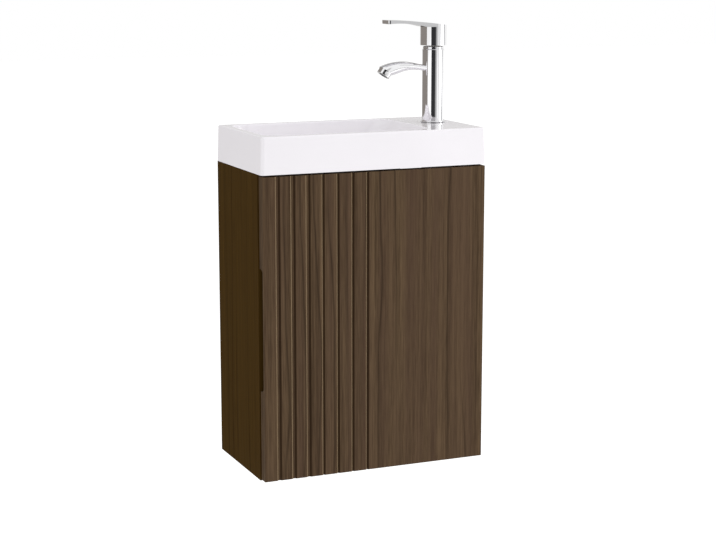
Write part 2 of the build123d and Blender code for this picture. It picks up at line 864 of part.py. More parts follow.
def hinge_base_plates():
    """Cross-shaped plates on the right side panel, each with a raised rail for an arm."""
    pieces = []
    y = base_plate_y()
    left = inner_x - base_plate_thickness
    for z in hinge_heights:
        wing = block((left, y - base_plate_half_length, z - base_plate_half_height),
                     (inner_x, y + base_plate_half_length, z + base_plate_half_height))
        wing = fillet(wing.edges().filter_by(Axis.X), base_plate_corner)
        half = arm_half_height()
        rail = block((base_rail_top, y - base_plate_half_length, z - half), (inner_x, arm_back, z + half))
        plate = wing + rail
        for way in (-1, 1):
            start = (left, y, z + way * base_screw_half_pitch)
            plate = plate - rod(start, (1, 0, 0), base_plate_thickness, base_screw_radius)
        pieces.append(plate)
    return group(pieces)


def base_plate_screws():
    pieces = []
    left = inner_x - base_plate_thickness
    for z in base_screw_heights():
        y = base_plate_y()
        shank = rod((left, y, z), (1, 0, 0), base_plate_thickness + base_screw_length, base_screw_radius)
        head = rod((left, y, z), (-1, 0, 0), base_screw_head_height, base_screw_head)
        face = (left - base_screw_head_height, y, z)
        pieces.append(head + shank - cross_recess(face, (-1, 0, 0), large_recess))
    return group(pieces)


def cup_floor_y():
    return door_back_y - cup_depth + cup_wall


def lug_range():
    """Distances from the hinge's middle height to the near and far side of a pin lug."""
    near = link_half_height + link_side_gap
    return near, near + cup_lug


def hinge_cups():
    """Round cups with a flange on the door's back and two lugs inside that hold the pin."""
    pieces = []
    near, far = lug_range()
    top_y = door_back_y + cup_flange_thickness
    left, right = span(cup_x, cup_flange_half_width)
    for z in hinge_heights:
        low, high = span(z, cup_flange_half_height)
        flange = block((left, door_back_y, low), (right, top_y, high))
        flange = fillet(flange.edges().filter_by(Axis.Y), cup_flange_corner)
        cup = flange + rod((cup_x, door_back_y, z), (0, -1, 0), cup_depth, cup_radius)
        depth = cup_depth + cup_flange_thickness - cup_wall
        cup = cup - rod((cup_x, top_y, z), (0, -1, 0), depth, cup_radius - cup_wall)
        lug_left, lug_right = span(door_pivot_x, link_eye_radius)
        for way in (-1, 1):
            zs = sorted((z + way * near, z + way * far))
            cup = cup + block((lug_left, cup_floor_y(), zs[0]), (lug_right, door_back_y, zs[1]))
            hole = (cup_x - cup_screw_offset, door_back_y, z + way * cup_screw_half_pitch)
            cup = cup - rod(hole, (0, 1, 0), cup_flange_thickness, cup_screw_radius)
        pieces.append(cup - rod((door_pivot_x, door_pivot_y, z - far), (0, 0, 1), 2 * far, hinge_pin_radius))
    return group(pieces)


def hinge_cup_pins():
    far = lug_range()[1]
    return group([rod((door_pivot_x, door_pivot_y, z - far), (0, 0, 1), 2 * far, hinge_pin_radius)
                  for z in hinge_heights])


def cup_screws():
    pieces = []
    face = door_back_y + cup_flange_thickness
    for x, z in cup_screw_places():
        shank = rod((x, face, z), (0, -1, 0), cup_flange_thickness + cup_screw_length, cup_screw_radius)
        head = rod((x, face, z), (0, 1, 0), cup_screw_head_height, cup_screw_head)
        pieces.append(head + shank)
    return group(pieces)


# Basin

def rounded_slab(x0, x1, y0, y1, z, radius):
    return Pos((x0 + x1) / 2, (y0 + y1) / 2, z) * RectangleRounded(x1 - x0, y1 - y0, radius)


def bowl(spread, extra_depth):
    """The hollow of the bowl, or with a spread its outer form: steep on three sides, sloping on the right."""
    front = bowl_front_y - spread
    back = -rim + spread
    left = bowl_left - spread
    right = bowl_right + spread
    low_z = bowl_floor_z - extra_depth
    top = rounded_slab(left, right, front, back, basin_top_z, bowl_corner + spread)
    low = rounded_slab(left + bowl_side_slope, right - bowl_right_slope, front + bowl_front_slope,
                       back - bowl_back_slope, low_z, bowl_corner + spread)
    return loft([low, top])


def basin_outside():
    half = basin_width / 2
    low = rounded_slab(-half, half, -basin_depth, 0, top_z, basin_corner)
    left, right = span(0, half - basin_draft)
    top = rounded_slab(left, right, -basin_depth + basin_draft, 0, basin_top_z, basin_corner)
    body = loft([low, top])
    return fillet(body.edges().group_by(Axis.Z)[-1], basin_edge_radius)


def basin():
    """One hollow casting: skirt, deck and bowl, with the waste hole and the tap hole."""
    left, right = span(0, basin_width / 2 - skirt_wall)
    inside = rounded_slab(left, right, -basin_depth + skirt_wall, -skirt_wall, top_z, basin_corner)
    body = basin_outside() - extrude(inside, basin_height - deck_thickness)
    shell = bowl(bowl_wall, bowl_floor)
    shell = fillet(shell.edges().group_by(Axis.Z)[0], bowl_floor_radius)
    keep_top = basin_top_z - deck_thickness / 2
    keep = block((left, -basin_depth + skirt_wall / 2, under_bowl_z), (right, -1, keep_top))
    hollow = bowl(0, 0)
    hollow = fillet(hollow.edges().group_by(Axis.Z)[0], bowl_floor_radius)
    body = body + (shell & keep) - hollow
    body = fillet(mouth_edges(body), bowl_lip_radius)
    body = body - rod((waste_x, waste_y, bowl_floor_z), (0, 0, -1), bowl_floor, waste_hole_radius)
    body = body - rod((waste_x, waste_y, bowl_floor_z), (0, 0, -1), waste_recess_depth, waste_recess_radius)
    return body - rod((tap_x, tap_y, deck_z), (0, 0, -1), deck_thickness, tap_hole_radius)


def mouth_edges(body):
    """The top edges that lie round the bowl, clear of the basin's outer edges."""
    edges = []
    for edge in body.edges().group_by(Axis.Z)[-1]:
        box = edge.bounding_box()
        if box.max.Y < -rim / 2 and box.max.X < bowl_right + 1:
            edges.append(edge)
    return edges


def sealant_beads():
    """Three-cornered beads in the angle between the skirt and the side panels' top edges."""
    pieces = []
    for side in (-1, 1):
        corner = side * (basin_width / 2 - skirt_wall)
        points = [(corner, top_z), (corner - side * bead_leg, top_z), (corner, top_z + bead_leg)]
        face = make_face(Polyline(*[(x, -bead_end_gap, z) for x, z in points], close=True))
        pieces.append(extrude(face, amount=carcass_depth - 2 * bead_end_gap, dir=(0, -1, 0)))
    return group(pieces)


# Waste

def waste_body():
    """Flange, threaded tail and the cross inside that carries the click guide."""
    x, y = waste_x, waste_y
    body = rod((x, y, flange_bottom_z), (0, 0, 1), flange_thickness, flange_radius)
    body = fillet(body.edges().group_by(Axis.Z)[-1], flange_edge_radius)
    body = body + rod((x, y, flange_bottom_z), (0, 0, -1), waste_tail_length, waste_thread_radius)
    whole = waste_tail_length + flange_thickness
    body = body - rod((x, y, flange_top_z), (0, 0, -1), whole, waste_bore_radius)
    relief = (x, y, nut_bottom_z - relief_gap)
    neck = waste_thread_radius - relief_depth
    body = body - tube(relief, (0, 0, -1), relief_width, waste_thread_radius, neck)
    low = flange_top_z - spider_drop - spider_thickness
    reach = (waste_bore_radius + waste_thread_radius) / 2
    for turn in (0, 60, 120):
        arm = Box(2 * reach, spider_arm, spider_thickness)
        body = body + Pos(x, y, low + spider_thickness / 2) * Rot(0, 0, turn) * arm
    body = body + rod((x, y, low), (0, 0, 1), spider_thickness, guide_radius + spider_ring)
    return body - rod((x, y, low), (0, 0, 1), spider_thickness, guide_radius)


def waste_flange_seal():
    start = (waste_x, waste_y, flange_seat_z)
    return tube(start, (0, 0, 1), flange_seal_thickness, flange_radius - 1, waste_hole_radius)


def waste_lower_seal():
    start = (waste_x, waste_y, under_bowl_z)
    return tube(start, (0, 0, -1), lower_seal_thickness, lower_seal_radius, waste_thread_radius)


def waste_backnut():
    """A round nut with grip notches."""
    start = (waste_x, waste_y, nut_top_z)
    nut = tube(start, (0, 0, -1), backnut_thickness, backnut_radius, waste_thread_radius)
    for step in range(backnut_notches):
        angle = 2 * math.pi * step / backnut_notches
        x = waste_x + backnut_radius * math.cos(angle)
        y = waste_y + backnut_radius * math.sin(angle)
        nut = nut - rod((x, y, nut_top_z), (0, 0, -1), backnut_thickness, backnut_notch_radius)
    return nut


def waste_click_guide():
    """The sleeve in the cross that the plug's stem slides in, closed at its foot."""
    start = (waste_x, waste_y, guide_top_z)
    sleeve = rod(start, (0, 0, -1), guide_length, guide_radius)
    return sleeve - rod(start, (0, 0, -1), guide_length - guide_floor, stem_radius + running_gap)


def waste_plug():
    """A low dome with a flat rim: a disc under a large ball."""
    crown_z = plug_bottom_z + plug_edge + plug_crown
    disc = rod((waste_x, waste_y, plug_bottom_z), (0, 0, 1), crown_z - plug_bottom_z, plug_radius)
    ball_radius = (plug_radius ** 2 + plug_crown ** 2) / (2 * plug_crown)
    return disc & Pos(waste_x, waste_y, crown_z - ball_radius) * Sphere(ball_radius)


def waste_plug_seal():
    start = (waste_x, waste_y, plug_bottom_z)
    return tube(start, (0, 0, -1), plug_seal_thickness, plug_seal_outer, plug_seal_inner)


def waste_plug_stem():
    """The plug's stem, which stands just clear of the guide's foot when the plug is down."""
    foot_z = guide_low_z + guide_floor + seat_gap
    return rod((waste_x, waste_y, foot_z), (0, 0, 1), plug_bottom_z - foot_z, stem_radius)


# Tap

def tap_point(x, y, height):
    """A place given from the tap's axis and the deck."""
    return (tap_x + x, tap_y + y, deck_z + height)


def oval(x, height, half_high, half_wide, drop):
    """An oval section of the spout, square to a line that drops below the horizontal."""
    slope = math.radians(drop)
    way = (-math.cos(slope), 0, -math.sin(slope))
    return Plane(origin=tap_point(x, 0, height), x_dir=(0, 1, 0), z_dir=way) * Ellipse(half_wide, half_high)


def spout():
    """The curved spout, flat and low at the body and round at its outlet."""
    return loft([oval(*section) for section in spout_sections])


def spout_bore():
    """The waterway from under the cartridge to the outlet."""
    start = tap_point(0, 0, spout_root_height)
    middle = tap_point(spout_bend_x, 0, spout_bend_height)
    path = FilletPolyline(start, middle, along_outlet(-aerator_socket), radius=spout_bore_bend)
    way = Vector(*middle) - Vector(*start)
    return sweep(Plane(origin=start, z_dir=way) * Circle(spout_bore_radius), path=path)


def outlet_direction():
    slope = math.radians(outlet_drop_angle)
    return (-math.cos(slope), 0, -math.sin(slope))


def along_outlet(distance):
    """A point on the outlet's axis, outwards from the spout's end."""
    way = outlet_direction()
    return tap_point(outlet_x + way[0] * distance, 0, outlet_height + way[2] * distance)


def riser(low, high, radius, x=0, y=0):
    """An upright round bar between two heights above the deck."""
    return rod(tap_point(x, y, low), (0, 0, 1), high - low, radius)


def tap_body():
    """Column and spout in one casting, bored for the cartridge, the waterways, the inlets and the stud."""
    column = riser(base_seal_thickness, tap_height, tap_radius)
    column = fillet(column.edges().group_by(Axis.Z)[-1], tap_shoulder)
    foot = riser(base_seal_thickness, base_seal_thickness + tap_foot_height, tap_foot_radius)
    foot = chamfer(foot.edges().group_by(Axis.Z)[-1], tap_foot_chamfer)
    body = column + foot + spout()
    body = body - riser(seat_height, cartridge_shoulder, cartridge_radius)
    body = body - riser(cartridge_shoulder, tap_height, nut_radius)
    body = body - riser(spout_root_height, seat_height, spout_bore_radius) - spout_bore()
    inlet_top = base_seal_thickness + inlet_depth
    for side in (-1, 1):
        body = body - riser(base_seal_thickness, inlet_top, inlet_radius, side * inlet_x, inlet_y)
        body = body - riser(inlet_top, seat_height, waterway_radius, side * port_x, port_y)
    body = body - riser(base_seal_thickness, base_seal_thickness + stud_hold, stud_radius, 0, stud_y)
    back = tuple(-c for c in outlet_direction())
    return body - rod(along_outlet(0), back, aerator_socket, aerator_bore)


def tap_base_seal():
    outer = tap_foot_radius - base_seal_inset
    return tube(tap_point(0, 0, 0), (0, 0, 1), base_seal_thickness, outer, tap_hole_radius)


def tap_fixing_stud():
    start = tap_point(0, stud_y, base_seal_thickness + stud_hold)
    return rod(start, (0, 0, -1), stud_length + stud_hold, stud_radius)


def clamp_plate(above, thickness):
    """A horseshoe below the deck: round, open at the back for the hoses, with a hole for the stud."""
    high = -deck_thickness - above
    low = high - thickness
    slot = block(tap_point(-clamp_slot_half_width, clamp_slot_front, low),
                 tap_point(clamp_slot_half_width, clamp_radius, high))
    return riser(low, high, clamp_radius) - slot - riser(low, high, stud_radius, 0, stud_y)


def tap_clamp_rubber():
    return clamp_plate(0, clamp_rubber_thickness)


def tap_clamp_washer():
    return clamp_plate(clamp_rubber_thickness, clamp_washer_thickness)


def tap_fixing_nut():
    start = tap_point(0, stud_y, -deck_thickness - clamp_rubber_thickness - clamp_washer_thickness)
    hexagon = RegularPolygon(fixing_nut_across / 2, 6, major_radius=False) - Circle(stud_radius)
    return extrude(Plane(origin=start, z_dir=(0, 0, -1)) * hexagon, fixing_nut_thickness)


# Cartridge

def cartridge_base_seals():
    """Rings under the cartridge round its two inlets and its outlet."""
    pieces = []
    for x, y in ((-port_x, port_y), (port_x, port_y), (0, 0)):
        inner = waterway_radius if y else spout_bore_radius
        start = tap_point(x, y, seat_height)
        pieces.append(tube(start, (0, 0, 1), base_ring_height, inner + base_ring_wall, inner))
    return group(pieces)


def cartridge_body():
    """The fixed cartridge housing, with a shoulder for its nut and a neck for the turning carrier."""
    bottom = seat_height + base_ring_height
    body = riser(bottom, cartridge_shoulder, cartridge_radius)
    body = body + riser(cartridge_shoulder, cartridge_neck_top, cartridge_neck_radius)
    return body - riser(carrier_floor - disc_thickness, cartridge_neck_top, carrier_radius)


def cartridge_disc():
    """The fixed ceramic disc under the carrier, with three ports."""
    low = carrier_floor - disc_thickness
    high = carrier_floor - seat_gap
    disc = riser(low, high, carrier_radius)
    for step in range(3):
        angle = 2 * math.pi * step / 3
        x, y = port_circle * math.cos(angle), port_circle * math.sin(angle)
        disc = disc - riser(low, high, port_radius, x, y)
    return disc


def cartridge_carrier():
    """The part that turns with the lever, slotted for the stem."""
    radius = carrier_radius - running_gap
    top = cartridge_neck_top - carrier_inset
    low = tap_point(-radius, -carrier_slot / 2, carrier_floor + carrier_web)
    high = tap_point(radius, carrier_slot / 2, top)
    body = riser(carrier_floor, top, radius) - block(low, high)
    return body - rod(tap_point(0, -radius, lever_pivot_height), (0, 1, 0), 2 * radius, lever_pin_radius)


def cartridge_pin():
    half = carrier_radius - lever_pin_inset
    return rod(tap_point(0, -half, lever_pivot_height), (0, 1, 0), 2 * half, lever_pin_radius)


def cartridge_stem():
    """The square stem that tilts on the pin and carries the lever."""
    half = stem_size / 2
    foot = lever_pivot_height - stem_foot_drop
    lower = block(tap_point(-stem_foot_half, -half, foot),
                  tap_point(stem_foot_half, half, lever_pivot_height))
    upper = block(tap_point(-half, -half, lever_pivot_height), tap_point(half, half, stem_top))
    start = tap_point(0, -half, lever_pivot_height)
    body = lower + upper + rod(start, (0, 1, 0), stem_size, half)
    return body - rod(start, (0, 1, 0), stem_size, lever_pin_radius + running_gap)


def cartridge_nut():
    start = tap_point(0, 0, cartridge_shoulder)
    return tube(start, (0, 0, 1), nut_thickness, nut_radius, cartridge_neck_radius)


def dome_ring():
    """The bright ring between the column and the lever's hub."""
    start = tap_point(0, 0, tap_height)
    ring = tube(start, (0, 0, 1), ring_height, ring_radius, nut_radius)
    return fillet(ring.edges().group_by(Axis.Z)[-1].sort_by(SortBy.RADIUS)[-1], ring_edge_radius)


# Lever

def lever_profile():
    """The lever's plate seen from the front, over the hub at the right and rising a little to the left."""
    heel = (hub_radius, lever_heel_top)
    top_middle = (-lever_mid_x, lever_mid_top)
    tip_top = (-lever_reach, lever_tip_top)
    tip_bottom = (-lever_reach + lever_tip_lean, lever_tip_bottom)
    low_middle = (-lever_mid_x - lever_arch_x, lever_mid_bottom)
    root = (-hub_radius + lever_root_inset, lever_root_bottom)
    hub_edge = (hub_radius, lever_root_bottom)
    edges = [
        ThreePointArc(flat(heel), flat(top_middle), flat(tip_top)),
        Line(flat(tip_top), flat(tip_bottom)),
        ThreePointArc(flat(tip_bottom), flat(low_middle), flat(root)),
        Line(flat(root), flat(hub_edge)),
        Line(flat(hub_edge), flat(heel)),
    ]
    return make_face(edges)


def flat(point):
    return hub_point(point[0], 0, point[1])


def hub_point(x, y, height):
    """A place given from the tap's axis and the hub's bottom."""
    return tap_point(x, y, hub_bottom + height)


def lever_plan():
    """The lever seen from above: the hub's circle running into a plate that narrows to its tip."""
    tip = lever_tip_width / 2
    points = [(0, -hub_radius), (-lever_reach, -tip), (-lever_reach, tip), (0, hub_radius)]
    plate = make_face(Polyline(*points, close=True))
    plate = fillet(plate.vertices().sort_by(Axis.X)[:2], lever_corner)
    return plate + Circle(hub_radius)


def lever_handle():
    """Hub and plate in one casting, hollow over the cartridge, with a socket for the stem."""
    side = extrude(lever_profile(), amount=hub_radius, both=True, dir=(0, 1, 0))
    plan = extrude(Pos(*hub_point(0, 0, 0)) * lever_plan(), lever_tip_top)
    body = (side & plan) + riser(hub_bottom, hub_bottom + lever_root_bottom, hub_radius)
    body = body - riser(hub_bottom, hub_bottom + hub_ceiling, hub_radius - hub_wall)
    half = boss_size / 2
    body = body + block(hub_point(-half, -half, boss_bottom), hub_point(half, half, hub_ceiling))
    half = stem_size / 2
    body = body - block(hub_point(-half, -half, boss_bottom), tap_point(half, half, stem_top))
    return body - rod(hub_point(half, 0, grub_height), (1, 0, 0), hub_radius, grub_radius)


def lever_grub_screw():
    start = hub_point(stem_size / 2, 0, grub_height)
    length = hub_radius - hub_wall - stem_size / 2
    screw = rod(start, (1, 0, 0), length, grub_radius)
    face = Plane(origin=hub_point(stem_size / 2 + length, 0, grub_height), z_dir=(1, 0, 0))
    return screw - extrude(face * RegularPolygon(grub_socket_radius, 6), -grub_radius)


# Aerator

def aerator_housing():
    """A ring screwed into the outlet, with two flats for a spanner."""
    way = outlet_direction()
    back = tuple(-c for c in way)
    ring = rod(along_outlet(0), way, aerator_length, aerator_radius)
    shank = rod(along_outlet(0), back, aerator_socket - aerator_washer_thickness, aerator_bore)
    whole = aerator_length + aerator_socket
    bore = rod(along_outlet(aerator_length), back, whole, aerator_bore - aerator_wall)
    body = ring + shank - bore
    middle = along_outlet(aerator_flat_start + aerator_flat_length / 2)
    plane = Plane(origin=middle, x_dir=(0, 1, 0), z_dir=way)
    slab = Box(2 * aerator_radius, 3 * aerator_radius, aerator_flat_length)
    for side in (-1, 1):
        body = body - plane * Pos(side * (aerator_flat + aerator_radius), 0, 0) * slab
    return body


def aerator_insert():
    """The mixing insert, with a ring of holes at its mouth."""
    way = outlet_direction()
    back = tuple(-c for c in way)
    radius = aerator_bore - aerator_wall
    mouth = along_outlet(aerator_length - insert_inset)
    body = rod(mouth, back, insert_length, radius)
    plane = Plane(origin=mouth, x_dir=(0, 1, 0), z_dir=way)
    for step in range(insert_hole_count):
        turn = Rot(0, 0, 360 / insert_hole_count * step)
        hole = plane * turn * Pos(radius / 2, 0) * Circle(insert_hole_radius)
        body = body - extrude(hole, -insert_hole_depth)
    return body


def aerator_washer():
    start = along_outlet(aerator_washer_thickness - aerator_socket)
    back = tuple(-c for c in outlet_direction())
    return tube(start, back, aerator_washer_thickness, aerator_bore, aerator_bore - aerator_washer_width)


def all_nodes():
    """Every node's name with its maker."""
    return {
        "side_panel_left": side_panel(-1),
        "side_panel_right": side_panel(1),
        "bottom_panel": bottom_panel(),
        "front_stretcher": front_stretcher(),
        "hanging_rail": hanging_rail(),
        "lower_back_rail": lower_back_rail(),
        "shelf": shelf(),
        "shelf_pins": shelf_pins(),
        "dowels": dowels(),
        "cam_bolts": cam_bolts(),
        "cam_discs": cam_discs(),
        "wall_plates": wall_plates(),
        "hanger_hooks": hanger_hooks(),
        "hanger_housings": hanger_housings(),
        "hanger_fixing_screws": hanger_fixing_screws(),
        "hanger_adjusters": hanger_adjusters(),
        "door_panel": door_panel(),
        "door_bumpers": door_bumpers(),
        "hinge_base_plates": hinge_base_plates(),
        "base_plate_screws": base_plate_screws(),
        "hinge_arms": hinge_arms(),
        "hinge_arm_screws": hinge_arm_screws(),
        "hinge_arm_pins": hinge_arm_pins(),
        "hinge_links": hinge_links(),
        "hinge_cups": hinge_cups(),
        "hinge_cup_pins": hinge_cup_pins(),
        "cup_screws": cup_screws(),
        "basin": basin(),
        "sealant_beads": sealant_beads(),
        "waste_body": waste_body(),
        "waste_flange_seal": waste_flange_seal(),
        "waste_lower_seal": waste_lower_seal(),
        "waste_backnut": waste_backnut(),
        "waste_click_guide": waste_click_guide(),
        "waste_plug": waste_plug(),
        "waste_plug_seal": waste_plug_seal(),
        "waste_plug_stem": waste_plug_stem(),
        "tap_body": tap_body(),
        "tap_base_seal": tap_base_seal(),
        "tap_fixing_stud": tap_fixing_stud(),
        "tap_clamp_rubber": tap_clamp_rubber(),
        "tap_clamp_washer": tap_clamp_washer(),
        "tap_fixing_nut": tap_fixing_nut(),
        "cartridge_base_seals": cartridge_base_seals(),
        "cartridge_body": cartridge_body(),
        "cartridge_disc": cartridge_disc(),
        "cartridge_carrier": cartridge_carrier(),
        "cartridge_pin": cartridge_pin(),
        "cartridge_stem": cartridge_stem(),
        "cartridge_nut": cartridge_nut(),
        "dome_ring": dome_ring(),
        "lever_handle": lever_handle(),
        "lever_grub_screw": lever_grub_screw(),
        "aerator_housing": aerator_housing(),
        "aerator_insert": aerator_insert(),
        "aerator_washer": aerator_washer(),
    }


for node, shape in all_nodes().items():
    write(node, shape)
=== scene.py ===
import math

import bmesh
import bpy
from mathutils import Matrix, Vector


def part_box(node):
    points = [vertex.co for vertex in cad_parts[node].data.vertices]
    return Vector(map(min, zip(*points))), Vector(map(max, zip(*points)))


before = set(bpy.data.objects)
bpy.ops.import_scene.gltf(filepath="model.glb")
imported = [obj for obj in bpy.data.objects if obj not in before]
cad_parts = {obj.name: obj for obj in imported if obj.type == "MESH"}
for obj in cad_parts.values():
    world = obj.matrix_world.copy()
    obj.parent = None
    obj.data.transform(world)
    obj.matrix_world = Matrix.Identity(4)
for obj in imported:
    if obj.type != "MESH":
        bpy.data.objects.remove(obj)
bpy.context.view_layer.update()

bl_info = {
    "name": "Wall-hung vanity unit finishes",
    "version": (1, 0, 0),
    "blender": (4, 5, 0),
    "location": "3D Viewport > Sidebar > Vanity",
    "description": "Finishes, lights and camera for a wall-hung vanity unit with basin and tap",
    "category": "Object",
}

MM = 0.001
X, Y, Z = 0, 1, 2
TAP_AXIS = (158.5 * MM, -98 * MM)
CARD_TOP = 3.0
CARD_LIFT = 0.01
OVERHEAD_HEIGHT = 3.2


def from_screen(red, green, blue):
    """A colour as a screen shows it, 0 to 255, turned into the linear one that shaders use."""
    parts = [value / 255 for value in (red, green, blue)]
    return tuple(p / 12.92 if p <= 0.04045 else ((p + 0.055) / 1.055) ** 2.4 for p in parts)


BRASS = (from_screen(205, 172, 104), from_screen(184, 148, 84))
STEEL = (from_screen(190, 190, 188), from_screen(168, 166, 160))


class Wire:
    """A shader socket that takes part in Python expressions; each operator adds a Math node."""

    def __init__(self, nodes, socket):
        self.nodes = nodes
        self.socket = socket

    def __add__(self, other):
        return self.nodes.maths("ADD", self, other)

    __radd__ = __add__

    def __sub__(self, other):
        return self.nodes.maths("SUBTRACT", self, other)

    def __rsub__(self, other):
        return self.nodes.maths("SUBTRACT", other, self)

    def __mul__(self, other):
        return self.nodes.maths("MULTIPLY", self, other)

    __rmul__ = __mul__

    def __truediv__(self, other):
        return self.nodes.maths("DIVIDE", self, other)

    def __pow__(self, other):
        return self.nodes.maths("POWER", self, other)


class Nodes:
    """A node tree that is filled by expressions and by one method for all other nodes."""

    def __init__(self, tree):
        self.tree = tree
        self.tree.nodes.clear()

    def add(self, kind, settings=None, inputs=None, output=0):
        """Adds a node, sets its settings, fills its sockets, and gives back one of its outputs."""
        node = self.tree.nodes.new(kind)
        for name, value in (settings or {}).items():
            if name == "stops":
                self.place_stops(node.color_ramp, value)
            else:
                setattr(node, name, value)
        for name, value in (inputs or {}).items():
            self.feed(node.inputs[name], value)
        return Wire(self, node.outputs[output])

    def end(self, kind, surface):
        """Adds the tree's output node."""
        self.feed(self.tree.nodes.new(kind).inputs["Surface"], surface)

    def place_stops(self, ramp, stops):
        """Gives a ramp its stops, each a place and a colour."""
        while len(ramp.elements) < len(stops):
            ramp.elements.new(1.0)
        for element, (place, colour) in zip(ramp.elements, stops):
            element.position = place
            element.color = (*colour, 1.0)

    def feed(self, socket, value):
        """Links a socket to a wire, or sets its value."""
        if isinstance(value, Wire):
            self.tree.links.new(value.socket, socket)
        elif socket.type == "RGBA" and len(value) == 3:
            socket.default_value = (*value, 1.0)
        else:
            socket.default_value = value

    def maths(self, operation, *values):
        return self.add("ShaderNodeMath", {"operation": operation}, dict(enumerate(values)))

    def clamped(self, value):
        return self.add("ShaderNodeClamp", None, {"Value": value})

    def mixed(self, factor, first, second):
        """A colour between two colours."""
        settings = {"data_type": "RGBA", "clamp_factor": True}
        return self.add("ShaderNodeMix", settings, {0: factor, 6: first, 7: second}, output=2)

    def place(self, name="Object"):
        return self.add("ShaderNodeTexCoord", None, None, output=name)

    def part_of(self, vector, axis):
        """One coordinate of a vector."""
        return self.add("ShaderNodeSeparateXYZ", None, {0: vector}, output=axis)

    def scaled(self, vector, scale, shift=0.0):
        inputs = {"Vector": vector, "Location": (shift,) * 3, "Scale": scale}
        return self.add("ShaderNodeMapping", None, inputs)

    def noise(self, vector, scale=1.0, detail=2.0, roughness=0.5, distortion=0.0):
        inputs = {"Vector": vector, "Scale": scale, "Detail": detail, "Roughness": roughness,
                  "Distortion": distortion}
        return self.add("ShaderNodeTexNoise", None, inputs)

    def spread(self, value, contrast):
        """A noise value with its contrast raised about its middle, kept between 0 and 1."""
        return self.clamped((value - 0.5) * contrast + 0.5)


class Finish(Nodes):
    """A material with one principled surface."""

    def __init__(self, name, **fixed):
        self.material = bpy.data.materials.new(name)
        self.material.use_nodes = True
        super().__init__(self.material.node_tree)
        surface = self.add("ShaderNodeBsdfPrincipled")
        self.sockets = surface.socket.node.inputs
        self.end("ShaderNodeOutputMaterial", surface)
        for socket, value in fixed.items():
            self.set(socket.replace("_", " "), value)

    def set(self, socket, value):
        self.feed(self.sockets[socket], value)

    def bump(self, height, distance, strength=1.0):
        """Lets a height in 0 to 1 raise the surface by a distance in metres."""
        inputs = {"Height": height, "Distance": distance, "Strength": strength}
        self.set("Normal", self.add("ShaderNodeBump", None, inputs))


class CabinetLook(bpy.types.PropertyGroup):
    """Colours and grain of the cabinet and its door; the cabinet's colours are darker than the door's,
    partly the boards' own tone and partly painted shade.
    """

    door_light: bpy.props.FloatVectorProperty(
        name="Door light", description="Lightest streaks of the door", subtype="COLOR",
        default=from_screen(98, 79, 58))
    door_dark: bpy.props.FloatVectorProperty(
        name="Door dark", description="Darkest streaks of the door", subtype="COLOR",
        default=from_screen(64, 49, 34))
    door_warm: bpy.props.FloatVectorProperty(
        name="Door warm", description="Purple-brown bands of the door", subtype="COLOR",
        default=from_screen(81, 62, 49))
    # The cabinet tones below are darker than the door's: partly the boards' own tone, partly painted shade
    # taken from the shaded left side.
    side_light: bpy.props.FloatVectorProperty(
        name="Side light", description="Lightest streaks of the cabinet", subtype="COLOR",
        default=from_screen(73, 53, 21))
    side_dark: bpy.props.FloatVectorProperty(
        name="Side dark", description="Darkest streaks of the cabinet", subtype="COLOR",
        default=from_screen(56, 39, 12))
    side_warm: bpy.props.FloatVectorProperty(
        name="Side warm", description="Red-brown bands of the cabinet", subtype="COLOR",
        default=from_screen(63, 45, 18))
    line_pitch: bpy.props.FloatProperty(
        name="Line pitch", description="Distance between the thin dark lines of the grain",
        unit="LENGTH", default=27 * MM)
    line_sway: bpy.props.FloatProperty(
        name="Line sway", description="How far those lines wander", unit="LENGTH", default=75 * MM)


class BasinLook(bpy.types.PropertyGroup):
    """Colour and gloss of the basin."""

    glaze: bpy.props.FloatVectorProperty(
        name="Glaze", description="Colour of the glaze", subtype="COLOR",
        default=from_screen(241, 238, 242))
    glaze_roughness: bpy.props.FloatProperty(
        name="Glaze roughness", description="Roughness of the glaze", subtype="FACTOR", default=0.08)


class TapLook(bpy.types.PropertyGroup):
    """Colour and gloss of the tap's and waste's metal."""

    chrome: bpy.props.FloatVectorProperty(
        name="Chrome", description="Colour of the chrome plating", subtype="COLOR",
        default=(0.9, 0.9, 0.91))
    chrome_roughness: bpy.props.FloatProperty(
        name="Chrome roughness", description="Roughness of the chrome plating", subtype="FACTOR",
        default=0.035)
    waste_thread: bpy.props.FloatProperty(
        name="Waste thread", description="Pitch of the thread on the waste's tail", unit="LENGTH",
        default=2.309 * MM)
    stud_thread: bpy.props.FloatProperty(
        name="Stud thread", description="Pitch of the thread on the tap's fixing stud", unit="LENGTH",
        default=1.25 * MM)


class StageLook(bpy.types.PropertyGroup):
    """Floor, lights and camera."""

    floor_height: bpy.props.FloatProperty(
        name="Floor height", description="Height of the floor, with the basin's rim 850 mm above it",
        unit="LENGTH", default=-0.704)
    world_light: bpy.props.FloatProperty(
        name="World light", description="Level of the even light all round", default=1.0)
    side_light: bpy.props.FloatProperty(
        name="Side light", description="Power of the soft box on the right", unit="POWER", default=22.0)
    camera_place: bpy.props.FloatVectorProperty(
        name="Camera place", description="Where the camera stands", subtype="TRANSLATION",
        default=(-1.1193, -2.7697, 0.4382))
    camera_heading: bpy.props.FloatProperty(
        name="Camera heading", description="Turn of the camera from the wall's normal", subtype="ANGLE",
        default=math.radians(23.07))
    camera_dip: bpy.props.FloatProperty(
        name="Camera dip", description="How far the camera looks down", subtype="ANGLE",
        default=math.radians(10.58))
    camera_lens: bpy.props.FloatProperty(
        name="Camera lens", description="Focal length on a 36 mm sensor, in millimetres", default=86.2)


def dress(material, *names):
    """Gives the named nodes one material in place of the one they came with."""
    for name in names:
        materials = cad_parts[name].data.materials
        materials.clear()
        materials.append(material)


def grain(finish, place, along, across, length, shift, detail=2.0):
    """Noise drawn out along one axis; across and length are in waves per metre."""
    scale = [across] * 3
    scale[along] = length
    return finish.noise(finish.scaled(place, scale, shift), detail=detail)


